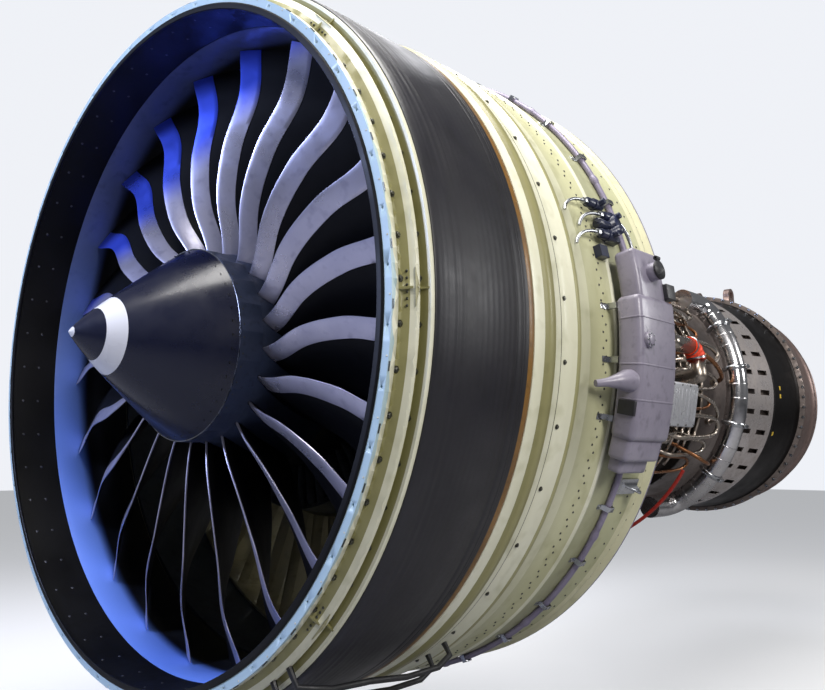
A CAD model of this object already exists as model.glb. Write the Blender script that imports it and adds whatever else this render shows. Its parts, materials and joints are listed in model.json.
"""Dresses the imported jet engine: finishes, fan, fan case, outside parts and core."""

import json
import logging
import math
from collections.abc import Iterator, Sequence
from contextlib import contextmanager
from dataclasses import dataclass
from enum import Enum

import bmesh
import bpy
from mathutils import Matrix, Vector

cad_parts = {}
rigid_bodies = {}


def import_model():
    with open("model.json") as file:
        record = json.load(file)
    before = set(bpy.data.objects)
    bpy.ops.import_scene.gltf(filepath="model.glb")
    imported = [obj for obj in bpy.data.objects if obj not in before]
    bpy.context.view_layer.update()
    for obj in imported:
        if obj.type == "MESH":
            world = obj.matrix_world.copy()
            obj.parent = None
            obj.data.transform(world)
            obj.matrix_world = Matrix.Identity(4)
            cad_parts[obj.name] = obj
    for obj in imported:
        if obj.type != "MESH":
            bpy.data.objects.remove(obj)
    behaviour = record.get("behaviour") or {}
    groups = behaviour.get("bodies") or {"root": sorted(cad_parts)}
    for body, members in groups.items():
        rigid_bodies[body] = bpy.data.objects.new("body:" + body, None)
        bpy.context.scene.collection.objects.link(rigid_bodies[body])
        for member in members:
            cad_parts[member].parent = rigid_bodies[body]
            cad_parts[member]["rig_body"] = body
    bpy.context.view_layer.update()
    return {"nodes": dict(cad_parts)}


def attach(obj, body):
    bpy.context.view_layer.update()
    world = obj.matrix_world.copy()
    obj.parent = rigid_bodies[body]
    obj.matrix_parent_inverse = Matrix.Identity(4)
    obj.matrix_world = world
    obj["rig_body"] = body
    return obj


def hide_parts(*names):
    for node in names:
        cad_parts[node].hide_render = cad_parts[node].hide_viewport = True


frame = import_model()
LOG = logging.getLogger("jet_engine")

Piece = bpy.types.Object
Material = bpy.types.Material
Tree = bpy.types.NodeTree
Point = tuple[float, float, float]
Pair = tuple[float, float]
Look = str | Material
Tube = tuple[list[Point], float, str]
Inputs = dict[str | int, object]

FINE_GAP = 1e-6  # distance in metres under which vertices of lofted pieces are merged
TURNED_GAP = 2e-5  # the same for turned pieces and copies of the CAD
CORNER = (0, 30, 60, 90)  # degrees at which a rounded corner has its points
FULL_TURN = 359.9  # degrees from which a turned piece closes on itself


# Finishes


class Pattern(Enum):
    """The surface pattern that a finish carries."""

    MOTTLED = "mottled"
    WOVEN = "woven"


@dataclass(frozen=True)
class Finish:
    """One finish: its two colours and how rough, metallic and grained it is."""

    base: str
    tint: str
    roughness: float = 0.45
    metallic: float = 0.0
    scale: float = 3.0
    coat: float = 0.0
    shine: float = 0.5
    amount: float = 0.6
    spread: float = 0.1
    bump: float = 0.05
    grain: float = 60.0
    pattern: Pattern = Pattern.MOTTLED


def hex_colour(code: str) -> tuple[float, ...]:
    """Turn a display colour into a linear one.

    Args:
        code: Six hexadecimal digits.

    Returns:
        The linear red, green and blue, and full cover.
    """
    parts = [int(code[i : i + 2], 16) / 255 for i in (0, 2, 4)]
    return (*(c / 12.92 if c <= 0.04045 else ((c + 0.055) / 1.055) ** 2.4 for c in parts), 1)


FINISHES: dict[str, Finish] = {
    "navy_paint": Finish("080a14", "05060d", 0.3, coat=0.15, shine=0.4, amount=0.5, bump=0.012),
    "platform_paint": Finish("39425a", "2b3346", 0.42, 0.0, 5.0, coat=0.1),
    "blade_black": Finish("0b0b0e", "060608", 0.5, 0.0, 2.2, spread=0.08, shine=0.16, bump=0.012,
                          grain=40.0),
    "guard_metal": Finish("c6c3d2", "a6a4bc", 0.34, 0.78, 2.5, amount=0.5, bump=0.015),
    "case_primer": Finish("dcdbc6", "bcbb9c", 0.46, 0.0, 1.3, coat=0.12, amount=0.5),
    "gusset_olive": Finish("a39f7c", "87835e", 0.45, 0.0, 4.0),
    "barrel_black": Finish("070708", "040405", 0.5, 0.0, 2.0, shine=0.22),
    "liner_blue": Finish("525d88", "3d4874", 0.5, 0.0, 2.0, amount=0.7),
    "wrap_weave": Finish("16151c", "0e0d13", 0.42, 0.0, 1.8, bump=0.06, pattern=Pattern.WOVEN),
    "band_amber": Finish("7a5722", "543a18", 0.4, 0.0, 5.0, coat=0.1),
    "acoustic_grey": Finish("4c5258", "3c4248", 0.6),
    "fastener_dark": Finish("5a5a52", "3a3a38", 0.4, 0.8, 30.0),
    "bolt_steel": Finish("6e6e68", "4a4a46", 0.3, 0.9, 30.0),
    "fastener_pale": Finish("c9c7b0", "a09e88", 0.45, 0.3, 30.0),
    "barrel_pin": Finish("4c4e56", "34363c", 0.35, 0.5, 30.0),
    "vane_metal": Finish("b9b294", "8f896c", 0.4, 0.3),
    "frame_metal": Finish("83878a", "63676b", 0.5, 0.6, 4.0),
    "core_metal": Finish("3c3632", "231f1d", 0.45, 0.8, 4.0),
    "bright_steel": Finish("b8babd", "92959b", 0.26, 1.0, 6.0, spread=0.08, bump=0.02),
    "duct_steel": Finish("d6d5d6", "aeacae", 0.2, 1.0, bump=0.02),
    "hot_metal": Finish("857b76", "5c504a", 0.38, 0.8),
    "panel_metal": Finish("cdc6c4", "a0968f", 0.34, 0.75, 5.0),
    "bronze_metal": Finish("94807a", "665650", 0.4, 0.75, 2.5),
    "tank_paint": Finish("8a8593", "716c7c", 0.36, coat=0.2),
    "cap_black": Finish("26262a", "18181c", 0.4),
    "valve_blue": Finish("1d2440", "12162a", 0.35, coat=0.2),
    "conduit_lilac": Finish("8a8398", "6f687e", 0.42, 0.2),
    "silicone_red": Finish("e8451f", "c93312", 0.5, 0.0, 9.0, spread=0.06, bump=0.08),
    "panel_white": Finish("e6e2e4", "cfc8cc", 0.4, amount=0.4),
    "box_silver": Finish("c4c5c9", "a3a5ab", 0.36, 0.55, 8.0, amount=0.4, bump=0.02),
    "line_steel": Finish("b5aca2", "8c7e70", 0.28, 1.0, 5.0),
    "line_copper": Finish("a0714e", "7c5238", 0.32, 1.0, 5.0),
    "hose_black": Finish("1c1c1f", "101012", 0.5, 0.0, 20.0, bump=0.1),
    "panel_dark": Finish("3a2c26", "281d19", 0.5, 0.0, 4.0),
    "seal_red": Finish("a8281c", "7e1a12", 0.5, 0.0, 20.0),
    "mount_grey": Finish("70747a", "565a60", 0.4, 0.7),
    "gearbox_cast": Finish("8b8e90", "6c6f72", 0.55, 0.5, grain=120.0, bump=0.15),
    "rotor_metal": Finish("7c7a78", "5c5a58", 0.4, 0.8),
    "tag_yellow": Finish("d8b83a", "b8962a", 0.5),
}


def feed(tree: Tree, node: bpy.types.Node, values: Inputs) -> None:
    """Fill the inputs of a node.

    Args:
        tree: The node's tree.
        node: The node.
        values: For each input its value, or the socket that is linked to it.
    """
    for key, value in values.items():
        if isinstance(value, bpy.types.NodeSocket):
            tree.links.new(value, node.inputs[key])
        else:
            node.inputs[key].default_value = value


def add_node(tree: Tree, kind: str, values: Inputs | None = None,
             **options: object) -> bpy.types.Node:
    """Add a shader node with its options and inputs.

    Args:
        tree: The tree to add to.
        kind: The node's type without its prefix.
        values: For each input its value, or the socket that is linked to it.
        **options: The node's own options.

    Returns:
        The node.
    """
    node = tree.nodes.new("ShaderNode" + kind)
    for option, choice in options.items():
        setattr(node, option, choice)
    feed(tree, node, values or {})
    return node


def lay_over(tree: Tree, mask: bpy.types.NodeSocket, code: str) -> None:
    """Mix a plain colour over a material's base colour.

    Args:
        tree: The material's tree.
        mask: Where the new colour shows.
        code: The colour in hexadecimal.
    """
    shader = tree.nodes["Principled BSDF"]
    old = shader.inputs["Base Color"].links[0].from_socket
    mix = add_node(tree, "Mix", {"Factor": mask, "A": old, "B": hex_colour(code)},
                   data_type="RGBA")
    tree.links.new(mix.outputs["Result"], shader.inputs["Base Color"])


class Surfaces:
    """Builds the shared node group once and the material of each finish."""

    def __init__(self) -> None:
        """Build the shared node group."""
        self.made: dict[str, Material] = {}
        self.mottle = self._mottle_group()

    @staticmethod
    def _mottle_group() -> Tree:
        """Build the group for uneven colour, worn patches and fine grain.

        Returns:
            The node group.
        """
        tree = bpy.data.node_groups.new("uneven_surface", "ShaderNodeTree")
        for side, sockets in (
                ("INPUT", {"Vector": "Vector", "Base": "Color", "Tint": "Color",
                           "Scale": "Float", "Amount": "Float", "Grain": "Float"}),
                ("OUTPUT", {"Colour": "Color", "Mask": "Float", "Height": "Float"})):
            for name, kind in sockets.items():
                tree.interface.new_socket(name, in_out=side, socket_type="NodeSocket" + kind)
        src = tree.nodes.new("NodeGroupInput").outputs
        closer = add_node(tree, "Math", {0: src["Scale"], 1: 7.0}, operation="MULTIPLY")
        broad, fine, spots = (
            add_node(tree, "TexNoise", {"Vector": src["Vector"], "Scale": scale, **detail})
            for scale, detail in ((src["Scale"], {"Detail": 5.0, "Roughness": 0.62}),
                                  (src["Grain"], {"Detail": 3.0}),
                                  (closer.outputs[0], {"Detail": 2.0})))
        wide = add_node(tree, "MapRange", {
            "Value": broad.outputs["Fac"], "From Min": 0.36, "From Max": 0.64})
        share = add_node(tree, "Math", {0: wide.outputs["Result"], 1: src["Amount"]},
                         operation="MULTIPLY")
        mix = add_node(tree, "Mix", data_type="RGBA")
        feed(tree, mix, {"Factor": share.outputs[0], "A": src["Base"], "B": src["Tint"]})
        worn = add_node(tree, "MapRange", {
            "Value": spots.outputs["Fac"], "From Min": 0.55, "From Max": 0.75, "To Max": 0.35})
        dark = add_node(tree, "Mix", data_type="RGBA", blend_type="MULTIPLY")
        feed(tree, dark, {"Factor": worn.outputs["Result"], "A": mix.outputs["Result"],
                          "B": src["Tint"]})
        feed(tree, tree.nodes.new("NodeGroupOutput"), {
            "Colour": dark.outputs["Result"], "Mask": wide.outputs["Result"],
            "Height": fine.outputs["Fac"]})
        return tree

    def of(self, look: Look) -> Material:
        """Give the material of a finish.

        Args:
            look: The finish's name, or a material, which is given back.

        Returns:
            The material, built at its first use.
        """
        if not isinstance(look, str):
            return look
        if look not in self.made:
            self.made[look] = self._build(look)
        return self.made[look]

    def _build(self, name: str) -> Material:
        """Build the material of one finish.

        Args:
            name: The finish's name.

        Returns:
            The material.
        """
        look = FINISHES[name]
        mat = bpy.data.materials.new(name)
        mat.use_nodes = True
        tree = mat.node_tree
        place = add_node(tree, "TexCoord", name="place").outputs["Object"]
        group = add_node(tree, "Group", {
            "Vector": place, "Base": hex_colour(look.base), "Tint": hex_colour(look.tint),
            "Scale": look.scale, "Amount": look.amount, "Grain": look.grain},
            node_tree=self.mottle, name="uneven")
        rough = add_node(tree, "MapRange", {
            "Value": group.outputs["Mask"], "To Min": max(0.03, look.roughness - look.spread),
            "To Max": look.roughness + look.spread})
        height = group.outputs["Height"]
        if look.pattern is Pattern.WOVEN:
            plies = add_node(tree, "TexWave", {"Vector": place, "Scale": 9.0, "Distortion": 0.4},
                             wave_type="BANDS", bands_direction="Y")
            height = add_node(tree, "Math", {0: plies.outputs["Fac"], 1: height},
                              operation="ADD").outputs[0]
        bump = add_node(tree, "Bump", {"Strength": look.bump, "Distance": 0.01, "Height": height})
        feed(tree, tree.nodes["Principled BSDF"], {
            "Base Color": group.outputs["Colour"], "Roughness": rough.outputs["Result"],
            "Metallic": look.metallic, "Coat Weight": look.coat, "Coat Roughness": 0.12,
            "Specular IOR Level": look.shine, "Normal": bump.outputs["Normal"]})
        mat.diffuse_color = hex_colour(look.base)
        return mat

    def banded(self, name: str, base: str, stops: list[tuple[float, str]], end: float,
               stepped: bool = True, cover: float | None = None) -> Material:
        """Give a finish painted zones along the shaft.

        Args:
            name: Name of the new material.
            base: The finish that it starts from.
            stops: Places along the shaft in metres, each with its colour.
            end: Place at which the last zone ends.
            stepped: Whether the zones have sharp borders.
            cover: How far the zones hide the finish, which they tint by default.

        Returns:
            The material.
        """
        mat = self._build(base)
        mat.name = name
        tree = mat.node_tree
        start = stops[0][0]
        split = add_node(tree, "SeparateXYZ", {0: tree.nodes["place"].outputs["Object"]},
                         name="split")
        where = add_node(tree, "MapRange", {
            "Value": split.outputs["Y"], "From Min": start, "From Max": end})
        ramp = add_node(tree, "ValToRGB", {"Fac": where.outputs["Result"]})
        ramp.color_ramp.interpolation = "CONSTANT" if stepped else "LINEAR"
        cells = ramp.color_ramp.elements
        cells.remove(cells[-1])
        for i, (at, code) in enumerate(stops):
            cell = cells.new((at - start) / (end - start)) if i else cells[0]
            cell.color = hex_colour(code)
        shade = add_node(tree, "Mix", data_type="RGBA",
                         blend_type="MULTIPLY" if cover is None else "MIX")
        feed(tree, shade, {"Factor": 1.0 if cover is None else cover,
                           "A": tree.nodes["uneven"].outputs["Colour"],
                           "B": ramp.outputs["Color"]})
        tree.links.new(shade.outputs["Result"], tree.nodes["Principled BSDF"].inputs["Base Color"])
        return mat

    @staticmethod
    def aimed(name: str, start: Material, axis: Point, reach: Pair, tint: str) -> Material:
        """Let a finish run into a second colour along a direction.

        Args:
            name: Name of the new material.
            start: The material it starts from.
            axis: Direction along which the colour changes.
            reach: Distances along it at which the change starts and ends.
            tint: The colour that is reached.

        Returns:
            The material.
        """
        mat = start.copy()
        mat.name = name
        tree = mat.node_tree
        along = add_node(tree, "VectorMath", operation="DOT_PRODUCT")
        feed(tree, along, {0: tree.nodes["place"].outputs["Object"], 1: axis})
        share = add_node(tree, "MapRange", {
            "Value": along.outputs["Value"], "From Min": reach[0], "From Max": reach[1]},
            interpolation_type="SMOOTHSTEP")
        lay_over(tree, share.outputs["Result"], tint)
        return mat


# Modelling helpers


def deselect() -> None:
    """Leave edit mode and deselect all objects."""
    if bpy.context.object and bpy.context.object.mode != "OBJECT":
        bpy.ops.object.mode_set(mode="OBJECT")
    bpy.ops.object.select_all(action="DESELECT")


def pick(obj: Piece) -> None:
    """Make an object the active one and the only one selected.

    Args:
        obj: The object.
    """
    deselect()
    obj.select_set(True)
    bpy.context.view_layer.objects.active = obj


@contextmanager
def editing() -> Iterator[None]:
    """Hold edit mode on the active object, with its whole mesh selected at first."""
    bpy.ops.object.mode_set(mode="EDIT")
    bpy.ops.mesh.select_all(action="SELECT")
    yield
    bpy.ops.object.mode_set(mode="OBJECT")


def add_object(name: str, data: bpy.types.ID) -> Piece:
    """Add an object to the scene.

    Args:
        name: Name of the object.
        data: Its mesh, curve, light or camera.

    Returns:
        The object.
    """
    obj = bpy.data.objects.new(name, data)
    bpy.context.scene.collection.objects.link(obj)
    return obj


def take_active(name: str) -> Piece:
    """Name the object that an operator has just added.

    Args:
        name: The new name.

    Returns:
        The object, with its place in its mesh.
    """
    obj = bpy.context.active_object
    obj.name = name
    obj.data.name = name
    bpy.ops.object.transform_apply(location=True, rotation=True, scale=True)
    return obj


def close_up(obj: Piece, gap: float = 1e-5, smooth: float = 35.0) -> Piece:
    """Merge doubles, turn the faces outwards and smooth them below an angle.

    Args:
        obj: The mesh object.
        gap: Distance under which vertices are merged.
        smooth: Greatest angle that is smoothed, in degrees.

    Returns:
        The object.
    """
    pick(obj)
    with editing():
        bpy.ops.mesh.remove_doubles(threshold=gap)
        bpy.ops.mesh.normals_make_consistent(inside=False)
    bpy.ops.object.shade_smooth_by_angle(angle=math.radians(smooth))
    obj.select_set(False)
    return obj


def close_ends(gap: float) -> None:
    """Merge doubles and fill the open ends of the mesh in edit mode.

    Args:
        gap: Distance under which vertices are merged.
    """
    bpy.ops.mesh.select_all(action="SELECT")
    bpy.ops.mesh.remove_doubles(threshold=gap)
    bpy.ops.mesh.select_all(action="SELECT")
    bpy.ops.mesh.fill_holes(sides=0)


def clock_turn(angle: float) -> Matrix:
    """Give the turn that takes +X to a clock angle in degrees, with 90 at +Z."""
    return Matrix.Rotation(-math.radians(angle), 4, "Y")


def at_clock(radius: float, along: float, angle: float) -> Point:
    """Give the point at a distance from the shaft, a place along it and a clock angle."""
    t = math.radians(angle)
    return (radius * math.cos(t), along, radius * math.sin(t))


def lathe(name: str, profile: list[Pair], steps: int = 192, smooth: float = 35.0,
          span: Pair = (0.0, 360.0)) -> Piece:
    """Spin a closed outline of radius and height round the shaft.

    Args:
        name: Name of the piece.
        profile: Points of the outline in order.
        steps: Steps of the spin.
        smooth: Greatest angle that is smoothed, in degrees.
        span: Clock angles of the two ends.

    Returns:
        The turned object.
    """
    deselect()
    bpy.ops.mesh.primitive_circle_add(vertices=len(profile), radius=1.0, fill_type="NOTHING")
    obj = take_active(name)
    for vert, (r, y) in zip(obj.data.vertices, profile):
        vert.co = at_clock(r, y, span[0])
    with editing():
        bpy.ops.mesh.spin(steps=steps, angle=math.radians(span[1] - span[0]), center=(0, 0, 0),
                          axis=(0, -1, 0))
        if span[1] - span[0] < FULL_TURN:
            close_ends(TURNED_GAP)
    return close_up(obj, TURNED_GAP, smooth)


def loft(name: str, rings: list[list[Point]], smooth: float = 40.0,
         marks: list[int] | None = None) -> Piece:
    """Lay a grid over closed rings of points and close its ends.

    Args:
        name: Name of the piece.
        rings: The rings, with as many points each.
        smooth: Greatest angle that is smoothed, in degrees.
        marks: Material index of each column of faces.

    Returns:
        The lofted object.
    """
    deselect()
    count = len(rings[0])
    bpy.ops.mesh.primitive_grid_add(x_subdivisions=count, y_subdivisions=len(rings) - 1, size=2)
    obj = take_active(name)
    across = count + 1
    for k, vert in enumerate(obj.data.vertices):
        i, j = divmod(k, across)
        vert.co = rings[i][j % count]
    if marks:
        for poly in obj.data.polygons:
            poly.material_index = marks[min(v % across for v in poly.vertices)]
    with editing():
        close_ends(FINE_GAP)
    return close_up(obj, FINE_GAP, smooth)


def sweep(name: str, path: list[Point], radii: list[float], sides: int = 24,
          smooth: float = 40.0) -> Piece:
    """Loft circles of given radii along a path.

    Args:
        name: Name of the piece.
        path: Points of the centre line.
        radii: Radius at each point.
        sides: Points of each circle.
        smooth: Greatest angle that is smoothed, in degrees.

    Returns:
        The swept piece.
    """
    spots = [Vector(p) for p in path]
    circle = [2 * math.pi * i / sides for i in range(sides)]
    rings = []
    side = (spots[1] - spots[0]).normalized().orthogonal().normalized()
    for k, spot in enumerate(spots):
        ahead = (spots[min(k + 1, len(spots) - 1)] - spots[max(k - 1, 0)]).normalized()
        side = (side - ahead * side.dot(ahead)).normalized()
        up = ahead.cross(side)
        rings.append([tuple(spot + radii[k] * (math.cos(t) * side + math.sin(t) * up))
                      for t in circle])
    return loft(name, rings, smooth)


def arc_path(start: float, end: float, radius: float, along: float, step: float) -> list[Point]:
    """List points on an arc round the shaft.

    Args:
        start: First clock angle.
        end: Last clock angle.
        radius: Distance from the shaft.
        along: Place along the shaft.
        step: Greatest angle between points.

    Returns:
        The points.
    """
    n = max(2, int(abs(end - start) / step))
    return [at_clock(radius, along, start + (end - start) * k / n) for k in range(n + 1)]


def block(low: Point, high: Point, bevel: float = 0.003, name: str = "block") -> Piece:
    """Make a box with rounded edges.

    Args:
        low: Lowest corner.
        high: Highest corner.
        bevel: Radius of the edges.
        name: Name of the piece.

    Returns:
        The box.
    """
    deselect()
    size = [b - a for a, b in zip(low, high)]
    mid = [(a + b) / 2 for a, b in zip(low, high)]
    bpy.ops.mesh.primitive_cube_add(size=1, location=mid, scale=size)
    obj = take_active(name)
    with editing():
        bpy.ops.mesh.bevel(offset=bevel, segments=3, affect="EDGES")
    return close_up(obj)


def rod(start: Point, end: Point, radius: float, sides: int = 24, bevel: float = 0.0015) -> Piece:
    """Make a cylinder with rounded rims between two points.

    Args:
        start: Centre of the first end.
        end: Centre of the other end.
        radius: Radius.
        sides: Sides of the cylinder.
        bevel: Radius of the rims.

    Returns:
        The cylinder.
    """
    deselect()
    a, b = Vector(start), Vector(end)
    turn = (b - a).to_track_quat("Z", "Y").to_euler()
    bpy.ops.mesh.primitive_cylinder_add(vertices=sides, radius=radius, depth=(b - a).length,
                                        location=(a + b) / 2, rotation=turn)
    obj = take_active("rod")
    pick(obj)
    mod = obj.modifiers.new("rim", "BEVEL")
    mod.width = bevel
    mod.segments = 2
    mod.limit_method = "ANGLE"
    mod.angle_limit = math.radians(50)
    bpy.ops.object.modifier_apply(modifier=mod.name)
    return close_up(obj)


def pipe(points: list[Point], radius: float) -> Piece:
    """Sweep a round pipe along a line that is rounded between its points.

    Args:
        points: Points of its centre line.
        radius: Radius of the pipe.

    Returns:
        The pipe as a mesh.
    """
    curve = bpy.data.curves.new("pipe", "CURVE")
    curve.dimensions = "3D"
    curve.bevel_depth = radius
    curve.bevel_resolution = 3
    curve.use_fill_caps = True
    spline = curve.splines.new("NURBS")
    spline.points.add(len(points) - 1)
    for spot, p in zip(spline.points, points):
        spot.co = (*p, 1)
    spline.order_u = min(4, len(points))
    spline.use_endpoint_u = True
    spline.resolution_u = 5
    pick(add_object("pipe", curve))
    bpy.ops.object.convert(target="MESH")
    return close_up(bpy.context.active_object, FINE_GAP, 50)


def join(name: str, parts: list[Piece]) -> Piece:
    """Join meshes into one piece.

    Args:
        name: Name of the piece.
        parts: The meshes.

    Returns:
        The joined piece.
    """
    deselect()
    for part in parts:
        part.select_set(True)
    bpy.context.view_layer.objects.active = parts[0]
    bpy.ops.object.join()
    obj = bpy.context.active_object
    obj.name = name
    obj.data.name = name
    return obj


def repeat(name: str, model: Piece, places: list[Matrix]) -> Piece:
    """Set copies of one model at many places, in one mesh.

    Args:
        name: Name of the piece.
        model: The model, which is used up.
        places: Where each copy goes.

    Returns:
        The piece with all copies.
    """
    mesh = bmesh.new()
    for place in places:
        copy = model.data.copy()
        copy.transform(place)
        mesh.from_mesh(copy)
        bpy.data.meshes.remove(copy)
    data = model.data.copy()
    data.name = name
    mesh.to_mesh(data)
    mesh.free()
    bpy.data.objects.remove(model)
    return add_object(name, data)


def ring_places(count: int, radius: float, along: float, start: float = 0.0,
                tilt: float = 0.0) -> list[Matrix]:
    """List the places of fasteners round the shaft.

    Args:
        count: Fasteners in the ring.
        radius: Distance of their seats from the shaft.
        along: Place along the shaft.
        start: Clock angle of the first one.
        tilt: Angle from outwards towards the rear, so that 90 stands on a rear face.

    Returns:
        The places.
    """
    seat = Matrix.Translation((radius, along, 0)) @ Matrix.Rotation(math.radians(tilt), 4, "Z")
    return [clock_turn(start + 360 * k / count) @ seat for k in range(count)]


def hex_bolt(radius: float, height: float) -> Piece:
    """Model one hexagon bolt on its washer, standing out along +X from the origin.

    Args:
        radius: Radius across the corners.
        height: Height of the head.

    Returns:
        The bolt.
    """
    discs = []
    for sides, wide, tall in ((16, radius * 1.45, height * 0.3), (6, radius, height)):
        deselect()
        bpy.ops.mesh.primitive_cylinder_add(vertices=sides, radius=wide, depth=tall,
                                            location=(tall / 2, 0, 0),
                                            rotation=(0, math.pi / 2, 0))
        discs.append(take_active("disc"))
    with editing():
        bpy.ops.mesh.bevel(offset=radius * 0.12, segments=1, affect="EDGES")
    return close_up(join("bolt", discs), FINE_GAP, 20)


def rivet(radius: float, rise: float) -> Piece:
    """Model one domed rivet that stands out along +X from the origin.

    Args:
        radius: Radius of the head.
        rise: Height of the dome.

    Returns:
        The rivet.
    """
    deselect()
    bpy.ops.mesh.primitive_cone_add(vertices=10, radius1=radius, radius2=radius * 0.55,
                                    depth=rise, location=(rise / 2, 0, 0),
                                    rotation=(0, math.pi / 2, 0))
    return close_up(take_active("rivet"), FINE_GAP, 60)


def smooth_copy(node: str, angle: float = 30.0) -> Piece:
    """Copy a CAD node with its loose triangles merged and smoothed.

    Args:
        node: The node's name.
        angle: Greatest angle that is smoothed, in degrees.

    Returns:
        The copy.
    """
    obj = add_object(node + "_dressed", frame["nodes"][node].data.copy())
    mesh = bmesh.new()
    mesh.from_mesh(obj.data)
    bmesh.ops.remove_doubles(mesh, verts=mesh.verts, dist=TURNED_GAP)
    for face in mesh.faces:
        face.smooth = True
    mesh.to_mesh(obj.data)
    mesh.free()
    pick(obj)
    bpy.ops.object.shade_smooth_by_angle(angle=math.radians(angle))
    return obj


def ease_journals(obj: Piece, radii: Pair) -> None:
    """Draw a turning piece's journals in, so that their facets clear the bores.

    Args:
        obj: The piece.
        radii: Radii of its journals.
    """
    reach, draw = 0.0006, 0.0015
    for vert in obj.data.vertices:
        r = math.hypot(vert.co.x, vert.co.z)
        if any(abs(r - journal) < reach for journal in radii):
            vert.co.x *= (r - draw) / r
            vert.co.z *= (r - draw) / r


def cushion(radii: Pair, along: Pair, clocks: Pair, radius: float,
            end: float | None = None) -> Piece:
    """Make a rounded block that follows the case.

    Args:
        radii: Inner and outer distance from the shaft.
        along: Front and rear places along the shaft.
        clocks: Clock angles of its ends.
        radius: Radius of its long edges.
        end: Radius at its ends, the same as the edges' by default.

    Returns:
        The block.
    """
    end = radius if end is None else end
    middle = sum(radii) / 2
    turns = [(math.degrees(end * (1 - math.cos(q)) / middle), end * (1 - math.sin(q)))
             for q in map(math.radians, CORNER)]
    stations = [(clocks[0] + a, b) for a, b in turns]
    count = max(1, int((clocks[1] - clocks[0]) / 3))
    first, last = stations[-1][0], clocks[1] - turns[-1][0]
    stations += [(first + (last - first) * k / count, 0.0) for k in range(1, count)]
    stations += [(clocks[1] - a, b) for a, b in reversed(turns)]
    rings = []
    for clock, inset in stations:
        e = max(radius - inset, 0.0004)
        r0, r1 = radii[0] + inset + e, radii[1] - inset - e
        y0, y1 = along[0] + inset + e, along[1] - inset - e
        rings.append([at_clock(cr + e * math.cos(q), cy + e * math.sin(q), clock)
                      for cr, cy, a in ((r1, y1, 0), (r0, y1, 90), (r0, y0, 180), (r1, y0, 270))
                      for q in (math.radians(a + b) for b in CORNER)])
    return loft("cushion", rings)


def turned_to(obj: Piece, angle: float) -> Piece:
    """Turn a piece that was made at clock 0 to a clock angle."""
    obj.data.transform(clock_turn(angle))
    return obj


def keyed(values: Sequence[float], t: float) -> float:
    """Interpolate evenly spaced values smoothly.

    Args:
        values: The values.
        t: Place from 0 to 1.

    Returns:
        The value at that place.
    """
    n = len(values) - 1
    k = min(int(t * n), n - 1)
    f = t * n - k
    p, q, r, s = (values[max(k - 1, 0)], values[k], values[k + 1], values[min(k + 2, n)])
    return 0.5 * (2 * q + (r - p) * f + (2 * p - 5 * q + 4 * r - s) * f * f
                  + (3 * q - p - 3 * r + s) * f ** 3)


@dataclass
class Assembly:
    """A sub-assembly, which dresses its pieces and puts them on a body."""

    surfaces: Surfaces
    body: str = "frame"

    def put(self, obj: Piece, slot: str, look: Look | tuple[Look, ...], *nodes: str,
            body: str | None = None) -> None:
        """Give a piece its materials, body and slot.

        Args:
            obj: The piece.
            slot: The record's material slot.
            look: A finish's name or a material, or several of them in slot order.
            *nodes: CAD nodes that it replaces.
            body: The body that it rides on, the assembly's own by default.
        """
        looks = look if isinstance(look, tuple) else (look,)
        keep = [min(p.material_index, len(looks) - 1) for p in obj.data.polygons]
        obj.data.materials.clear()
        for each in looks:
            obj.data.materials.append(self.surfaces.of(each))
        obj.data.polygons.foreach_set("material_index", keep)
        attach(obj, body or self.body)
        if nodes:
            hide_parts(*nodes)
        LOG.info("made %s on %s", obj.name, body or self.body)


# The fan


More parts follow.
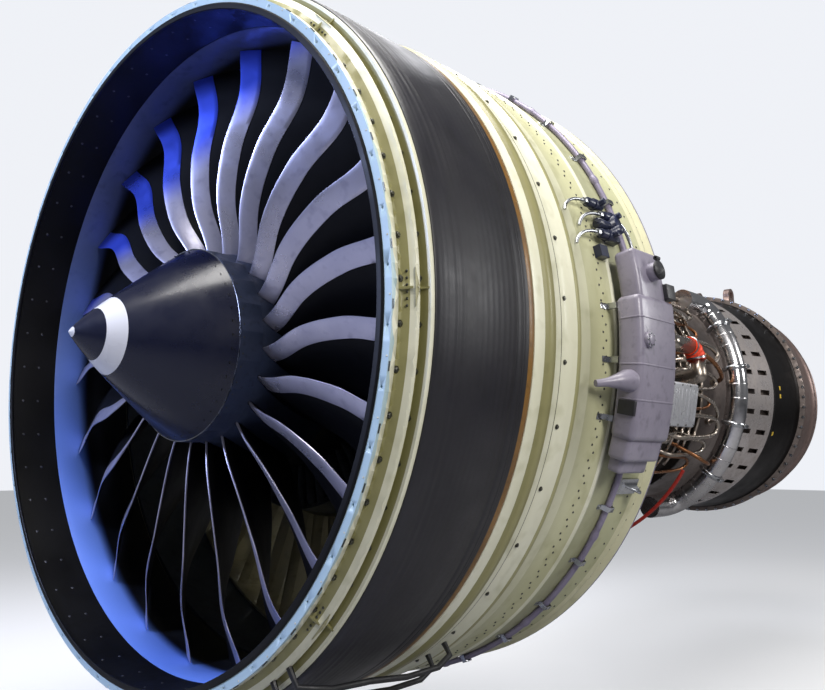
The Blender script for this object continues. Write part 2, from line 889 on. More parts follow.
@dataclass
class Fan(Assembly):
    """Blades, spinner, platforms and disc."""

    body: str = "low_spool"
    count: int = 22
    tip: float = 1.628
    hub: float = 0.493
    hub_rear: float = 0.600
    disc: Pair = (0.335, 0.780)
    facets: Pair = (0.2095, 0.3345)
    first_clock: float = 141.6
    nose: float = -0.395
    nose_len: float = 0.602
    nose_power: float = 0.872
    edge_y: Sequence[float] = (0.342, 0.308, 0.320, 0.365, 0.400)
    lean: Sequence[float] = (0, 6.5, 7.5, 5.8, 9)
    chord: Sequence[float] = (0.450, 0.505, 0.560, 0.590, 0.600)
    stagger: Sequence[float] = (22, 33, 45, 55, 63)
    thick: Sequence[float] = (0.040, 0.032, 0.024, 0.017, 0.012)
    camber: Sequence[float] = (0.05, 0.045, 0.035, 0.02, 0.01)
    guard: Sequence[float] = (0.085, 0.095, 0.105, 0.115, 0.13)

    def surface_point(self, v: float, f: float, side: int, lift: float) -> Point:
        """Give a point on a blade whose root leading edge is at clock 0.

        Args:
            v: Share of the span.
            f: Share of the chord.
            side: 1 on the suction side and -1 on the pressure side.
            lift: Distance above the plain section.

        Returns:
            The point.
        """
        c = keyed(self.chord, v)
        z = math.radians(keyed(self.stagger, v))
        f = min(1.0, max(0.0, f))
        half = keyed(self.thick, v) / 2 * (0.05 + 0.95 * (4 * f * (1 - f)) ** 0.55) + lift
        b = keyed(self.camber, v) * c * 4 * f * (1 - f) + side * half
        y = keyed(self.edge_y, v) + f * c * math.cos(z) - b * math.sin(z)
        s = -f * c * math.sin(z) - b * math.cos(z)
        back = max(0.0, y - self.disc[0]) / (self.disc[1] - self.disc[0])
        low = self.hub + (self.hub_rear - self.hub) * back - 0.004
        r = low + (self.tip - low) * v
        t = math.radians(keyed(self.lean, v)) + s / (self.hub + (self.tip - self.hub) * v)
        return (r * math.cos(t), y, r * math.sin(t))

    def blade(self) -> Piece:
        """Model one blade with its metal guard and trailing edge strip.

        Returns:
            The blade at clock 0, with the guard as its second material.
        """
        rings, marks = [], []
        spans, skin, strip = 44, 0.0012, 0.985
        for v in (i / spans for i in range(spans + 1)):
            g = keyed(self.guard, v) / keyed(self.chord, v)
            p = 0.12 * g
            edge = {1: g, -1: p}
            line = [(f * g, 1) for f in (0, 0.05, 0.2, 0.4, 0.6, 0.8, 1.0)] + [(g + 0.003, 1)]
            line += [(g + 0.015 + (0.97 - g) * k / 13, 1) for k in range(14)]
            line += [(1.0, 1), (1.0, -1)]
            line += [(strip - (0.97 - p) * k / 13, -1) for k in range(14)]
            line += [(p + 0.003, -1)] + [(f * p, -1) for f in (1.0, 0.6, 0.25, 0.05)]
            rings.append([self.surface_point(v, f, s, skin if f <= edge[s] + 1e-9 else 0.0)
                          for f, s in line])
            if not marks:
                for (f, s), (f2, _) in zip(line, line[1:] + line[:1]):
                    mid = (f + f2) / 2
                    marks.append(int(mid < edge[s] + 0.003 or mid > strip))
        return loft("blade_model", rings, 38.0, marks)

    def blades(self) -> None:
        """Set the blades round the disc, each in place of its node."""
        model = self.blade()
        guard = self.surfaces.aimed("guard_tempered", self.surfaces.of("guard_metal"),
                                    (-0.45, 0.0, 0.89), (0.92, 1.16), "5570ff")
        for k in range(self.count):
            node = f"fan_blade_{k + 1:02d}"
            obj = turned_to(add_object(node + "_dressed", model.data.copy()),
                            self.first_clock - k * 360 / self.count)
            self.put(obj, "blade_black", ("blade_black", guard), node)
        bpy.data.objects.remove(model)

    def spinner(self) -> None:
        """Turn the spinner with its painted ring and set its screws."""
        wall, n, power = 0.014, 40, self.nose_power
        joint = self.nose + self.nose_len
        outline = [(self.hub * t ** power, self.nose + self.nose_len * t)
                   for t in ((i / n) ** 1.35 for i in range(n + 1))]
        outline += [(self.hub - 0.07, joint), (self.hub - 0.07, joint - wall)]
        outline += [(max(0.0, self.hub * t ** power - wall), self.nose + 0.006 + self.nose_len * t)
                    for t in (0.93, 0.6, 0.3, 0.1)]
        outline += [(0.0, self.nose + 0.05)]
        paint = self.surfaces.banded("spinner_paint", "navy_paint", [
            (-0.4, "dcdcde"), (-0.378, "10142a"), (-0.272, "e4e4e6"), (-0.199, "10142a")],
            0.21, cover=0.82)
        self.put(lathe("spinner_dressed", outline, 160, 40), "spinner_paint", paint, "spinner")
        y = 0.178
        t = (y - self.nose) / self.nose_len
        slope = math.atan(self.hub * power * t ** (power - 1) / self.nose_len)
        self.put(repeat("spinner_screws", rivet(0.0075, 0.0016), ring_places(
            44, self.hub * t ** power, y, 0.0, math.degrees(slope))),
            "disc_metal", "fastener_dark")
        lip = [(0.4915, 0.2045), (0.4955, 0.2045), (0.4955, 0.2085), (0.4915, 0.2085)]
        self.put(lathe("spinner_joint", lip, 160), "disc_metal", "bright_steel")

    def platforms(self) -> None:
        """Make the faceted ring ahead of the blades and dress the disc."""
        n = self.count
        middle = self.first_clock + 180 / n
        (y0, y1), r0, r1 = self.facets, 0.4925, 0.4945 / math.cos(math.pi / n)
        ring = lathe("platform_facets", [(r0, y0), (r1, y0), (r1, y1), (r0, y1)], n, 5.0)
        self.put(turned_to(ring, middle), "disc_metal", "platform_paint")
        self.put(smooth_copy("fan_disc"), "disc_metal", "platform_paint", "fan_disc")
        places = [place for side in (-3.6, 3.6)
                  for place in ring_places(n, 0.4955, 0.228, middle + side)]
        self.put(repeat("platform_screws", rivet(0.006, 0.0016), places),
                 "disc_metal", "fastener_dark")

    def build(self) -> None:
        """Build the whole fan."""
        self.blades()
        self.spinner()
        self.platforms()


# The fan case


@dataclass
class FanCase(Assembly):
    """Barrel, liner, front case, wrap, rear case and their fasteners."""

    case_r: float = 1.788
    flange_r: float = 1.700
    shell_r: float = 1.662
    wrap_y: float = 0.140
    wrap_len: float = 0.577
    case_len: float = 1.943
    bolts: int = 64
    pins: int = 48
    gusset_count: int = 8
    gusset_span: float = 4.8

    def inside(self) -> None:
        """Turn the barrel with its two rows of pins, and the liner."""
        s = self.shell_r - 0.0003
        barrel = lathe("barrel_dressed", [
            (1.6302, -0.0075), (1.6326, -0.0099), (1.6545, -0.0099), (1.6558, -0.0095),
            (s, -0.005), (s, 0.264), (1.648, 0.264), (1.6498, 0.160), (1.6522, 0.070),
            (1.654, 0.014), (1.6365, 0.004), (1.6312, 0.0018), (1.6302, -0.0004)])
        self.put(barrel, "barrel_black", "barrel_black", "inlet_barrel")
        inwards = [place for r, y in ((1.6522, 0.070), (1.6498, 0.160))
                   for place in ring_places(self.pins, r, y, 0.0, 180)]
        self.put(repeat("barrel_fasteners", rivet(0.0075, 0.0022), inwards),
                 "barrel_black", "barrel_pin")
        liner = lathe("liner_dressed", [
            (1.646, 0.2643), (s, 0.2643), (s, 0.755), (1.638, 0.755), (1.638, 0.560),
            (1.6395, 0.556), (1.6395, 0.470), (1.638, 0.466), (1.638, 0.294)])
        paint = self.surfaces.of("liner_blue")
        for name, axis, reach, tint in (
                ("liner_front", (-0.55, 0.0, -0.83), (-0.3, 1.5), "6a8ee6"),
                ("liner_paint", (0.0, 1.0, 0.0), (0.41, 0.49), "0b0c10")):
            paint = self.surfaces.aimed(name, paint, axis, reach, tint)
        self.put(liner, "liner_blue", paint, "rub_liner")

    def front(self) -> None:
        """Dress the front case and set its bolts, clips and studs."""
        self.put(smooth_copy("front_case", 25), "case_primer", self._flange_paint(), "front_case")
        r, n, half = self.flange_r, self.bolts, 2.25
        clip = lathe("clip", [(r + 0.0002, 0.003), (r + 0.0042, 0.0036), (r + 0.0046, 0.0055),
                              (r + 0.0042, 0.0074), (r + 0.0002, 0.008)], 3, 40, (-0.6, 0.6))
        for name, model, places, look in (
                ("channel_bolts", hex_bolt(0.0095, 0.010),
                 ring_places(n, r - 0.0137, 0.056, half), "bolt_steel"),
                ("ridge_bolts", hex_bolt(0.0085, 0.010),
                 ring_places(n, r + 0.0303, 0.110, half), "bolt_steel"),
                ("flange_clips", clip, ring_places(self.pins, 0.0, 0.0), "fastener_dark"),
                ("flange_studs", rivet(0.0045, 0.0025),
                 ring_places(self.pins, 1.690, 0.0, 0.0, -90), "fastener_pale")):
            self.put(repeat(name, model, places), "fastener_steel", look)

    def gussets(self) -> None:
        """Lay the eight three-cornered gussets over the ridge, each with its six pins."""
        wide = self.gusset_span
        mid = wide / 2
        base = ((0.0752, 0.0), (0.0752, wide), (0.0772, wide), (0.0968, mid), (0.0772, 0.0))
        top = ((0.0760, 0.35), (0.0760, 4.45), (0.0776, 4.4), (0.0950, mid), (0.0776, 0.4))
        plate = loft("gusset", [[at_clock(r, y, a) for y, a in line] for r, line in (
            (1.7436, base), (1.7466, base), (1.7474, top))], 20.0)
        boss = rod(at_clock(1.747, 0.0895, mid), at_clock(1.7505, 0.0895, mid), 0.0045, 16, 0.001)
        turns = [clock_turn(1.0 - mid - 360 * k / self.gusset_count)
                 for k in range(self.gusset_count)]
        seat = Matrix.Translation((1.706, 0.0722, 0)) @ Matrix.Rotation(-math.radians(82), 4, "Z")
        pins = [turn @ clock_turn(0.25 + 0.86 * i) @ seat for turn in turns for i in range(6)]
        self.put(repeat("front_gussets", plate, turns), "case_primer", "gusset_olive")
        self.put(repeat("gusset_bosses", boss, turns), "case_primer", "fastener_pale")
        self.put(repeat("gusset_pins", rivet(0.006, 0.004), pins), "fastener_steel",
                 "fastener_dark")

    def _flange_paint(self) -> Material:
        """Make the primer with the pale blue flange face and its uneven masked edge.

        Returns:
            The material.
        """
        mat = self.surfaces.banded("front_case_paint", "case_primer", [
            (-0.02, "ffffff"), (0.0375, "a8a47c"), (0.0745, "ffffff"), (0.0995, "9c986c"),
            (0.1205, "ffffff")], 0.2)
        tree = mat.node_tree
        noise = add_node(tree, "TexNoise", {"Vector": tree.nodes["place"].outputs["Object"],
                                            "Scale": 7.0, "Detail": 4.0})
        edge = add_node(tree, "MapRange", {"Value": noise.outputs["Fac"], "From Min": 0.3,
                                           "From Max": 0.7, "To Min": 0.002, "To Max": 0.026})
        below = add_node(tree, "Math", {0: tree.nodes["split"].outputs["Y"],
                                        1: edge.outputs["Result"]}, operation="LESS_THAN")
        lay_over(tree, below.outputs[0], "a6bcc0")
        return mat

    def wrap(self) -> None:
        """Turn the wound wrap with its faint ridges, and the band behind it."""
        y, r, foot = self.wrap_y, self.case_r, self.flange_r + 0.0003
        line = [(foot, y), (r - 0.003, y), (r, y + 0.006), (r, y + 0.058)]
        for at in (y + 0.062, y + 0.108, y + 0.154):
            line += [(r, at), (r + 0.0012, at + 0.008), (r + 0.0012, at + 0.014), (r, at + 0.023)]
        line += [(r, y + 0.2)]
        for at in (y + 0.49, y + 0.53, y + 0.548):
            line += [(r, at), (r - 0.0008, at + 0.0015), (r - 0.0008, at + 0.003),
                     (r, at + 0.0045)]
        line += [(r - 0.001, y + self.wrap_len), (foot, y + self.wrap_len)]
        paint = self.surfaces.banded("wrap_paint", "wrap_weave", [
            (0.14, "ffffff"), (0.2, "f4f0ff"), (0.36, "e4deec"), (0.6, "ffffff"),
            (0.717, "ece6e2")], 0.72, stepped=False)
        self.put(lathe("wrap_dressed", line, 216, 30), "wrap_weave", paint, "containment_wrap")
        band = lathe("band_dressed", [(foot, 0.717), (1.7848, 0.717), (1.7862, 0.722),
                                      (1.7862, 0.748), (1.784, 0.7548), (foot, 0.7548)])
        self.put(band, "band_amber", "band_amber", "wrap_edge_band")

    def rear(self) -> None:
        """Dress the rear case with its painted zones, bolts and rivet rows."""
        paint = self.surfaces.banded("rear_case_paint", "case_primer", [
            (0.75, "ffffff"), (0.828, "a39f78"), (0.900, "ffffff"), (0.947, "4c4a3a"),
            (0.953, "ffffff"), (1.060, "b4b18c"), (1.100, "f4f4ea"), (1.19, "dcdcc6"),
            (1.395, "ffffff"), (1.44, "d2d4c0"), (1.83, "f4f2e4"), (1.93, "8c86b4")], 1.95)
        self.put(smooth_copy("aft_case", 25), "case_primer", paint, "aft_case")
        self.put(repeat("case_bolts", hex_bolt(0.008, 0.008),
                        ring_places(40, self.case_r + 0.0003, 0.982, 3.6)),
                 "fastener_steel", "fastener_dark")
        rows = ((150, 1.302, 0.0), (150, 1.328, 1.2), (120, 1.885, 0.0), (120, 1.79, 1.5))
        self.put(repeat("case_rivets", rivet(0.0065, 0.004), [
            place for n, y, t in rows for place in ring_places(n, self.case_r, y, t)]),
            "fastener_steel", "fastener_dark")
        self.put(repeat("rear_flange_bolts", hex_bolt(0.010, 0.009), ring_places(
            80, 1.790, self.case_len, 2.25, 90)),
            "fastener_steel", "fastener_pale", "case_fasteners")

    def build(self) -> None:
        """Build the whole case."""
        self.inside()
        self.front()
        self.gussets()
        self.wrap()
        self.rear()


# Parts on the fan case


@dataclass
class OutsideParts(Assembly):
    """Tank, valves and conduit on the fan case."""

    tank_r: float = 1.840
    tank_out: float = 1.965
    tank_y: float = 1.335
    tank_w: float = 0.355
    boss_y: float = 1.395
    boss_clock: float = -1.3
    valves_at: Sequence[Point] = ((15.2, 1.40, 1.833), (18.6, 1.47, 1.838), (20.6, 1.38, 1.828))
    conduit_r: float = 1.8043

    def tank(self) -> None:
        """Build the oil tank with its neck, seams, bosses and dark brackets."""
        y0, y1 = self.tank_y, self.tank_y + self.tank_w
        inner, outer = self.tank_r, self.tank_out
        parts = [cushion((inner, outer - low), (y0 + inset, y1 - inset), clocks, edge)
                 for low, inset, clocks, edge in (
                     (0.0, 0.0, (-15.0, 5.0), 0.028), (0.014, 0.05, (3.6, 12.0), 0.024),
                     (0.022, 0.02, (-18.0, -14.2), 0.02), (0.055, 0.05, (-20.0, -17.2), 0.016))]
        parts += [cushion((inner, outer + 0.0024), (y0 - 0.0024, y1 + 0.0024),
                          (t - 0.13, t + 0.13), 0.030, 0.002) for t in (-9.4, -4.6, 1.8)]
        parts += [rod(at_clock(r0, y, t), at_clock(r1, y, t), radius, sides, bevel)
                  for t, y, r0, r1, radius, sides, bevel in (
                      (self.boss_clock, self.boss_y, 1.955, 1.9815, 0.037, 36, 0.004),
                      (self.boss_clock, self.boss_y, 1.978, 1.9862, 0.024, 30, 0.002),
                      (8.6, 1.5125, 1.94, 1.9905, 0.044, 40, 0.003))]
        line = ((1.905, 1.345, -7, 0.055), (1.9, 1.31, -7, 0.05), (1.885, 1.27, -7.2, 0.034),
                (1.86, 1.22, -7.5, 0.02), (1.835, 1.17, -7.8, 0.016))
        parts.append(sweep("projection", [at_clock(*stop[:3]) for stop in line],
                           [stop[3] for stop in line]))
        self.put(join("oil_tank_dressed", parts), "tank_paint", "tank_paint", "oil_tank")
        dark = [cushion((1.87, 1.972), (1.618, 1.702), (5.2, 7.4), 0.004),
                cushion((1.87, 1.955), (1.320, 1.340), (-11.6, -9.6), 0.003)]
        self.put(join("tank_dark_brackets", dark), "steel", "cap_black")
        ring = [clock_turn(self.boss_clock) @ Matrix.Translation(
            (1.9815, self.boss_y + 0.030 * math.cos(a), 0.030 * math.sin(a)))
            for a in (k * math.pi / 4 for k in range(8))]
        self.put(repeat("tank_boss_bolts", hex_bolt(0.0045, 0.004), ring), "steel",
                 "bright_steel")

    def valves(self) -> None:
        """Dress the valve cluster with its bodies, unions and pipes."""
        dark, steel = [smooth_copy("valve_cluster")], []
        for t, y, r in self.valves_at:
            for parts, y0, y1, rise, radius, sides, bevel in (
                    (dark, -0.065, 0.065, 0.0, 0.024, 28, 0.004),
                    (dark, -0.012, 0.012, 0.0, 0.030, 28, 0.003),
                    (dark, 0.03, 0.03, 0.05, 0.016, 24, 0.003),
                    (steel, -0.095, -0.06, 0.0, 0.018, 6, 0.0012)):
                parts.append(rod(at_clock(r, y + y0, t), at_clock(r + rise, y + y1, t),
                                 radius, sides, bevel))
            steel.append(pipe([at_clock(r, y - 0.09, t), at_clock(r, y - 0.17, t),
                               at_clock(r - 0.02, y - 0.24, t - 0.6),
                               at_clock(1.804, y - 0.26, t - 2.5)], 0.008))
        steel.append(pipe([at_clock(1.838, 1.53, 18.6), at_clock(1.84, 1.60, 18.6),
                           at_clock(1.83, 1.66, 17.2), at_clock(1.82, 1.66, 12.5)], 0.009))
        self.put(join("valve_cluster_dressed", dark), "valve_paint", "valve_blue",
                 "valve_cluster")
        self.put(join("valve_lines", steel), "steel", "bright_steel")

    def conduit(self) -> None:
        """Sweep the conduit ring with its sleeves, and bolt its straps."""
        at, thick = 1.6, 0.016
        ring = lathe("conduit", [
            (self.conduit_r + thick * math.cos(a), at + thick * math.sin(a))
            for a in (2 * math.pi * k / 16 for k in range(16))], 216, 60)
        sleeves = [sweep("sleeve", arc_path(t - 0.9, t + 0.9, self.conduit_r, at, 0.5),
                         [0.0162, 0.0205, 0.0205, 0.0162], 20) for t in range(-172, 180, 20)]
        self.put(join("conduit_ring_dressed", [ring, *sleeves]), "conduit_paint",
                 "conduit_lilac", "conduit_ring")
        self.put(repeat("strap_bolts", hex_bolt(0.0065, 0.007), [
            *ring_places(36, 1.7925, at - 0.059, 3), *ring_places(36, 1.7925, at + 0.059, 3)]),
            "steel", "bright_steel")

    def build(self) -> None:
        """Build all parts on the case."""
        self.tank()
        self.valves()
        self.conduit()


# The core


@dataclass
class Core(Assembly):
    """Duct, elbow, box, lines, fire panel and flange bolts of the core."""

    ring_r: float = 1.075
    duct_r: float = 0.085
    duct_y: float = 4.640
    bend: float = 0.130
    duct_ends: Pair = (-58.0, 34.0)
    elbow_at: Point = (1.190, 3.560, 6.0)
    elbow_r: float = 0.064
    elbow_bend: float = 0.096
    box_clock: float = -10.0
    panel_clocks: Pair = (-78.0, -32.0)

    def duct_path(self) -> list[Point]:
        """List the centre line of the large duct.

        Returns:
            The points from its lower to its upper end.
        """
        (low, high), front = self.duct_ends, self.duct_y - self.bend
        swing = math.degrees(self.bend / self.ring_r)
        turns = [math.radians(a) for a in range(0, 90, 10)]
        lower, upper = ([at_clock(self.ring_r, front + self.bend * math.sin(q),
                                  end + swing * way * math.cos(q)) for q in turns]
                        for end, way in ((low, -1), (high, 1)))
        return [*(at_clock(self.ring_r, 4.270 + 0.048 * k, low - swing) for k in range(5)),
                *lower, *arc_path(low, high, self.ring_r, self.duct_y, 2.0), *reversed(upper),
                *(at_clock(self.ring_r, 4.462 - 0.048 * k, high + swing) for k in range(5))]

    def collar(self, clock: float, width: float, rise: float) -> Piece:
        """Make one raised ring round the duct.

        Args:
            clock: Clock angle of its middle.
            width: Its width in degrees of clock angle.
            rise: Its height above the duct.

        Returns:
            The ring.
        """
        path = [at_clock(self.ring_r, self.duct_y, clock + width * k)
                for k in (-0.5, -0.46, -0.3, 0.3, 0.46, 0.5)]
        tops = (0.0004, rise * 0.7, rise, rise, rise * 0.7, 0.0004)
        return sweep("collar", path, [self.duct_r + top for top in tops], 40)

    def duct(self) -> None:
        """Sweep the large duct, with its beads, flanges and clamps."""
        path = self.duct_path()
        shell = sweep("duct", path, [self.duct_r] * len(path), 40)
        beads = [self.collar(t, 0.5, 0.0035) for t in (-54, -49, -32, -26, -5, 1, 18, 23, 33)]
        self.put(join("bleed_duct_dressed", [shell, *beads]), "duct_steel", "duct_steel",
                 "bleed_duct")
        y, low, high = self.duct_y, self.ring_r + 0.092, self.ring_r + 0.112
        bands = []
        for t in (-40, -16, 8, 28):
            latch = block((low, y - 0.03, -0.016), (high, y + 0.03, 0.016))
            bolt = rod((high - 0.006, y - 0.05, 0), (high - 0.006, y + 0.05, 0), 0.006, 16)
            bands += [self.collar(t, 2.0, 0.016), turned_to(latch, t), turned_to(bolt, t)]
        self.put(join("duct_clamps_dressed", bands), "steel", "bright_steel", "duct_clamps")

    def elbow_spot(self, angle: float) -> Point:
        """Give the point of the elbow's centre line at an angle of its bend."""
        (x, y, clock), a, bend = self.elbow_at, math.radians(angle), self.elbow_bend
        return tuple(clock_turn(clock) @ Vector((x, y + bend * math.cos(a), bend * math.sin(a))))

    def elbow(self) -> None:
        """Sweep the silicone elbow with its ridges and clamps."""
        turns, ridge = [2.5 * k for k in range(37)], 0.0028
        radii = [self.elbow_r + ridge * max(0.0, math.cos(math.radians(q * 16))) for q in turns]
        body = sweep("silicone_elbow_dressed", [self.elbow_spot(q) for q in turns], radii, 32, 60)
        self.put(body, "silicone", "silicone_red", "silicone_elbow")
        rises = (0.0005, 0.0055, 0.0055, 0.0055, 0.0005)
        bands = [sweep("band", [self.elbow_spot(q + d) for d in (-6, -5.6, 0, 5.6, 6)],
                       [self.elbow_r + rise for rise in rises], 32) for q in (10, 80)]
        self.put(join("elbow_bands", bands), "steel", "bright_steel")

    def box(self) -> None:
        """Build the control box with its lid, screws and connectors."""
        turn, face = self.box_clock, 1.2985
        parts = [block((1.183, 3.022, -0.148), (1.288, 3.418, 0.148), 0.008),
                 block((1.284, 3.030, -0.142), (face, 3.410, 0.142), 0.005)]
        parts += [block((1.296, 3.06 + 0.055 * k, -0.11), (1.3018, 3.072 + 0.055 * k, 0.11), 0.002)
                  for k in range(7)]
        parts += [block((1.180, y, z), (1.196, y + 0.05, z + 0.03))
                  for y in (3.03, 3.36) for z in (-0.15, 0.12)]
        parts += [block((face, y, -0.10), (1.3028, y + 0.015, 0.10), 0.002)
                  for y in (3.085, 3.32)]
        self.put(turned_to(join("control_box_dressed", parts), turn), "box_metal", "box_silver",
                 "control_box")
        side = block((1.196, 3.012, -0.136), (1.284, 3.0215, 0.136), 0.003, "side_panel")
        self.put(turned_to(side, turn), "box_metal", "panel_white")
        plugs, r = [], 1.235
        for z in (-0.11 + 0.055 * k for k in range(5)):
            plugs += [rod((r, 3.026, z), (r, 2.985, z), 0.019, 24, 0.002),
                      rod((r, 3.005, z), (r, 2.992, z), 0.023, 12, 0.001),
                      pipe([(r, 2.99, z), (r, 2.93, z), (1.2, 2.86, z * 0.7),
                            (1.08, 2.80, z * 0.5 - 0.1), (0.95, 2.78, z * 0.4 - 0.3)], 0.0095)]
        self.put(turned_to(join("box_plugs", plugs), turn), "box_metal", "hose_black")
        self.put(repeat("box_screws", hex_bolt(0.005, 0.003), [
            clock_turn(turn) @ Matrix.Translation((face, y, z))
            for y in (3.042, 3.16, 3.28, 3.398) for z in (-0.133, 0.133)]),
            "box_metal", "fastener_dark")

    def panel(self) -> None:
        """Turn the fire panel with its beads, and lay its red seal."""
        front, back, bead, low = 3.6202, 3.632, 3.638, 0.590
        line = [(low, front), (1.240, front), (1.240, back)]
        for r in (1.15, 1.0, 0.85, 0.70):
            line += [(r + 0.02, back), (r + 0.014, bead), (r - 0.014, bead), (r - 0.02, back)]
        line += [(low, back)]
        self.put(lathe("fire_seal_panel_dressed", line, 32, 30, self.panel_clocks),
                 "panel_dark", "panel_dark", "fire_seal_panel")
        edge = arc_path(*self.panel_clocks, 1.250, 3.626, 2.0)
        self.put(sweep("fire_seal", edge, [0.013] * len(edge), 16), "panel_dark", "seal_red")

    def flange_bolts(self) -> None:
        """Set the bolts of every joint of the core."""
        joints = ((48, 0.678, 1.9995, 2.0185), (44, 0.6265, 2.6995, 2.7405),
                  (44, 0.578, 3.6015, None), (64, 0.884, None, 4.4005),
                  (60, 0.945, 4.9435, 4.9605), (60, 1.013, 5.5835, 5.6045),
                  (72, 1.094, 6.1775, 6.2005), (72, 1.029, None, 6.7005))
        places = [place for count, r, *faces in joints for y, tilt in zip(faces, (-90, 90)) if y
                  for place in ring_places(count, r, y, 0.0, tilt)]
        self.put(repeat("core_flange_bolts", hex_bolt(0.0105, 0.010), places), "hot_metal",
                 "bright_steel")

    def lines(self) -> None:
        """Add bent tubes with their unions between the racks."""
        found: dict[str, list[Piece]] = {"line_steel": [], "line_copper": []}
        for stops, radius, look in (*self.routes(), *self.bundles(), *self.loops()):
            path = [Vector(at_clock(*stop)) for stop in stops]
            found[look].append(pipe(path, radius))
            for p, q in ((path[0], path[1]), (path[-1], path[-2])):
                found["line_steel"].append(
                    rod(p, p + (q - p).normalized() * 0.035, radius * 1.9, 6))
        for look, parts in found.items():
            self.put(join(f"core_{look}", parts), "line_steel", look)

    @staticmethod
    def routes() -> list[Tube]:
        """List the single tubes that the photo shows.

        Returns:
            For each tube its stops (radius, y, clock), its radius and its finish.
        """
        return [
            ([(0.90, 3.75, -2), (1.02, 3.80, -3), (1.08, 3.95, -6), (1.08, 4.25, -8),
              (1.06, 4.42, -16), (0.93, 4.46, -18)], 0.014, "line_steel"),
            ([(0.86, 3.9, 14), (1.04, 3.92, 14), (1.1, 4.05, 12), (1.1, 4.3, 6), (1.04, 4.48, 2),
              (0.93, 4.50, 2)], 0.018, "line_copper"),
            ([(0.70, 2.8, -6), (0.92, 2.86, -6), (0.98, 3.0, -7), (0.98, 3.4, -16),
              (0.98, 3.58, -22), (0.86, 3.7, -22)], 0.012, "line_steel"),
            ([(0.70, 2.6, 8), (0.95, 2.65, 8), (1.05, 2.8, 10), (1.05, 3.3, 18), (1.05, 3.7, 20),
              (0.86, 3.95, 20)], 0.016, "line_copper"),
            ([(0.72, 2.3, -14), (0.98, 2.34, -14), (1.12, 2.5, -15), (1.12, 2.95, -18),
              (1.12, 3.5, -24), (0.87, 3.72, -26)], 0.019, "line_steel"),
            ([(0.86, 4.0, -30), (1.05, 4.05, -30), (1.14, 4.2, -32), (1.14, 4.38, -34),
              (1.0, 4.50, -36), (0.93, 4.52, -36)], 0.015, "line_copper"),
            ([(0.72, 2.25, 24), (1.0, 2.3, 24), (1.1, 2.6, 26), (1.12, 3.4, 30), (1.1, 4.1, 30),
              (0.9, 4.35, 28)], 0.017, "line_steel"),
            ([(0.87, 3.85, 34), (1.05, 3.9, 34), (1.12, 4.0, 38), (1.12, 4.0, 52),
              (1.0, 4.0, 58), (0.87, 4.0, 58)], 0.014, "line_copper"),
        ]

    @staticmethod
    def bundles() -> list[Tube]:
        """List the tubes that run aft along the core and step round it.

        Returns:
            For each tube its stops (radius, y, clock), its radius and its finish.
        """
        found = []
        for k, start in enumerate((-46, -41, -35, -30, -24, -19, 1, 13, 17, 27, 33, 39, 44, 50)):
            sway = math.sin(k * 2.4)
            high, low = 0.93 + 0.035 * (k % 4), 0.16 * sway
            y0, y1 = 2.22 + 0.07 * (k % 3), 3.62 + 0.09 * (k % 5)
            end = start + 5.0 + 2.5 * sway
            found.append(([(0.68, y0, start), (high - 0.05, y0 + 0.03, start),
                           (high, y0 + 0.14, start + 0.5), (high, 2.9 + low, start + 0.5),
                           (high, 3.12 + low, end), (high, y1 - 0.14, end),
                           (high - 0.03, y1, end + 1), (0.84, y1 + 0.05, end + 1)],
                          0.010 + 0.0035 * (k % 3), "line_copper" if k % 4 == 1 else "line_steel"))
        return found

    @staticmethod
    def loops() -> list[Tube]:
        """List the tubes that bow out ahead of the large duct.

        Returns:
            For each tube its stops (radius, y, clock), its radius and its finish.
        """
        found = []
        for k, (t, width) in enumerate(((-44, 9), (-33, 8), (-24, 10), (-12, 7), (-3, 8),
                                        (9, 9), (21, 8), (31, 9), (42, 8))):
            far, near, high = 4.33 + 0.05 * (k % 3), 3.72 + 0.05 * (k % 2), 0.985 + 0.03 * (k % 3)
            end = t + width
            found.append(([(0.83, near, t), (high, near + 0.02, t), (high, near + 0.12, t),
                           (high, far - 0.12, t + 0.5), (high, far, t + width * 0.3),
                           (high, far, t + width * 0.7), (high, far - 0.12, end),
                           (high, near + 0.16, end), (high - 0.02, near + 0.05, end),
                           (0.83, near + 0.03, end)],
                          0.0125 + 0.003 * (k % 3), "line_steel" if k % 3 else "line_copper"))
        return found

    def tags(self) -> None:
        """Hang the plain yellow tags on the turbine casing."""
        tags = [turned_to(block((r, y, -0.018), (r + 0.002, y + 0.03, 0.018), 0.0006), t)
                for r, y, t in ((1.052, 5.68, 3.0), (1.052, 5.68, -1.0), (1.045, 5.62, -20.0))]
        self.put(join("yellow_tags", tags), "hot_metal", "tag_yellow")

    def build(self) -> None:
        """Build the core's added parts."""
        self.duct()
        self.elbow()
        self.box()
        self.panel()
        self.flange_bolts()
        self.lines()
        self.tags()


# CAD nodes that keep their shape


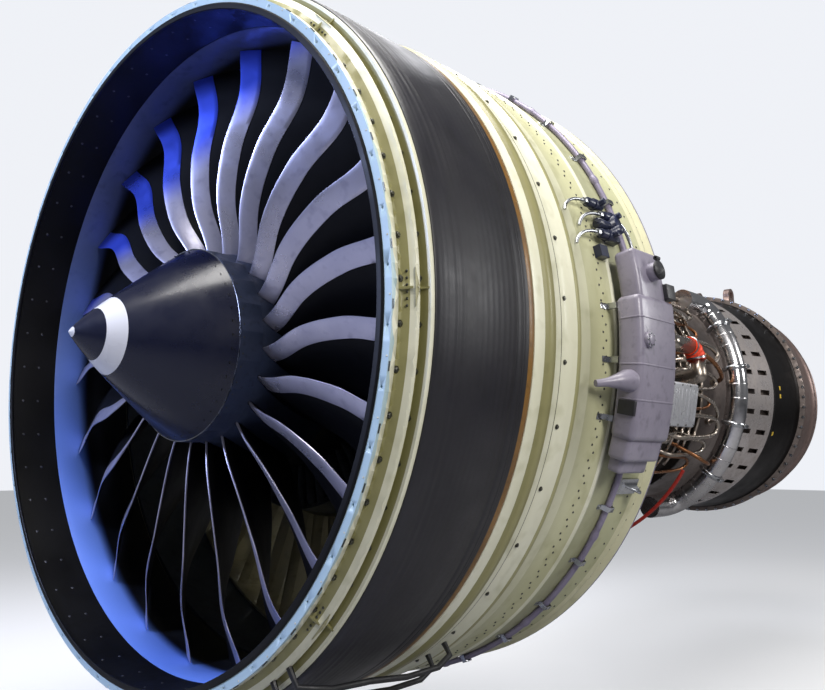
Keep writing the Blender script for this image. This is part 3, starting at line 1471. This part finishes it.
@dataclass
class PlainNodes(Assembly):
    """Nodes whose CAD shape stays, each smoothed and given its finish."""

    hoses_end: float = 1.2

    JOURNALS = {"lp_rotor": (0.140, 0.120), "core_rotor": (0.190, 0.170)}
    LOOKS = (
        ("rotor_metal", "rotor_metal", ("lp_rotor", "core_rotor")),
        ("acoustic_grey", "acoustic_grey", ("aft_liner",)),
        ("vane_metal", "vane_metal", ("guide_vanes",)),
        ("frame_metal", "frame_metal", ("hub_frame", "booster_case")),
        ("core_metal", "core_metal", ("compressor_case",)),
        ("steel", "bright_steel", ("stator_ring", "actuator_rod")),
        ("hot_metal", "core_metal", ("combustor_case",)),
        ("steel", "bright_steel", ("fuel_nozzles",)),
        ("hot_metal", "turbine_paint", ("turbine_case",)),
        ("panel_metal", "panel_metal", ("cooling_panels",)),
        ("hot_metal", "bronze_metal", ("turbine_rear_frame",)),
        ("bronze_metal", "bronze_metal", ("exhaust_ring", "exhaust_cone")),
        ("cap_metal", "cap_black", ("filler_cap",)),
        ("steel", "bright_steel", ("case_brackets",)),
        ("line_steel", ("line_steel", "hose_black"), ("fluid_lines",)),
        ("mount_metal", "mount_grey", ("forward_mount",)),
        ("gearbox_metal", "gearbox_cast", ("gearbox",)),
    )

    def build(self) -> None:
        """Copy, smooth and dress each node."""
        self.surfaces.made["turbine_paint"] = self.surfaces.banded("turbine_paint", "hot_metal", [
            (4.3, "ffffff"), (5.57, "34302f"), (6.165, "ffffff")], 6.3)
        for slot, look, nodes in self.LOOKS:
            for node in nodes:
                obj = smooth_copy(node)
                self.put(obj, slot, look, node, body=frame["nodes"][node]["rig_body"])
                if node in self.JOURNALS:
                    ease_journals(obj, self.JOURNALS[node])
                if node == "fluid_lines":
                    for face in obj.data.polygons:
                        face.material_index = int(face.center.y < self.hoses_end)


# Room, lights and camera


@dataclass
class Studio:
    """Floor, lamps, world and camera."""

    place: Point = (3.708, -2.038, -0.581)
    lens: float = 35.83
    yaw: float = 43.11
    pitch: float = 7.89
    floor: float = -2.35
    floor_glow: float = 0.42
    room_light: float = 0.17
    room_seen: float = 0.93

    LAMPS = (
        ("overhead", (1.2, 0.5, 6.5), (0.5, 1.5, 0), 5.0, 880, (1.0, 0.98, 0.95)),
        ("front_blue", (-1.9, -5.5, 2.6), (0, 0.4, 0), 1.8, 560, (0.52, 0.62, 1.0)),
        ("front_right", (7.0, -1.0, 2.6), (1.0, 4.5, 0.2), 2.5, 300, (1.0, 0.97, 0.94)),
        ("rim_left", (-4.0, 5.5, 5.0), (0.4, 1.2, 1.2), 4.0, 420, (0.94, 0.95, 1.0)),
        ("rear_side", (7.5, 7.5, 2.5), (0.6, 5.2, 0), 2.5, 220, (1.0, 1.0, 1.0)),
    )

    def build_floor(self) -> None:
        """Lay the pale floor, which is lit evenly to the camera."""
        deselect()
        bpy.ops.mesh.primitive_plane_add(size=90, location=(0, 3, self.floor))
        obj = take_active("floor")
        mat = bpy.data.materials.new("floor_pale")
        mat.use_nodes = True
        tree = mat.node_tree
        seen = add_node(tree, "LightPath").outputs["Is Camera Ray"]
        tone = add_node(tree, "Mix", data_type="RGBA")
        feed(tree, tone, {"Factor": seen, "A": (0.26, 0.26, 0.27, 1), "B": (0.5, 0.5, 0.51, 1)})
        glow = add_node(tree, "MapRange", {"Value": seen, "To Max": self.floor_glow})
        feed(tree, tree.nodes["Principled BSDF"], {
            "Roughness": 0.9, "Base Color": tone.outputs["Result"],
            "Emission Strength": glow.outputs["Result"], "Emission Color": (0.85, 0.87, 0.9, 1)})
        obj.data.materials.append(mat)

    def world(self) -> None:
        """Set the pale world, brighter to the camera than on the object."""
        world = bpy.data.worlds.new("pale_room")
        bpy.context.scene.world = world
        world.use_nodes = True
        tree = world.node_tree
        rays = add_node(tree, "LightPath").outputs
        seen = add_node(tree, "Math", {0: rays["Is Camera Ray"], 1: rays["Is Transmission Ray"]},
                        operation="MAXIMUM")
        power = add_node(tree, "MapRange", {
            "Value": seen.outputs[0], "To Min": self.room_light, "To Max": self.room_seen})
        feed(tree, tree.nodes["Background"], {
            "Strength": power.outputs["Result"], "Color": (0.93, 0.95, 1.0, 1)})

    def build(self) -> None:
        """Set up the room, the area lamps and the camera."""
        self.build_floor()
        self.world()
        for name, place, aim, size, watts, colour in self.LAMPS:
            data = bpy.data.lights.new(name, "AREA")
            data.shape = "SQUARE"
            data.size = size
            data.energy = watts
            data.color = colour
            lamp = add_object(name, data)
            lamp.location = place
            aimed = (Vector(aim) - Vector(place)).to_track_quat("-Z", "Y")
            lamp.rotation_euler = aimed.to_euler()
        data = bpy.data.cameras.new("photo_view")
        data.sensor_width = 36.0
        data.lens = self.lens
        data.clip_end = 200
        cam = add_object("photo_view", data)
        cam.location = self.place
        cam.rotation_euler = (math.radians(90 + self.pitch), 0, math.radians(self.yaw))
        bpy.context.scene.camera = cam
        bpy.context.scene.view_settings.view_transform = "Standard"


def main() -> None:
    """Build the sub-assemblies in order."""
    logging.basicConfig(level=logging.INFO, format="%(message)s")
    surfaces = Surfaces()
    Studio().build()
    for assembly in (Fan, FanCase, OutsideParts, Core, PlainNodes):
        assembly(surfaces).build()


if __name__ == "__main__":
    main()
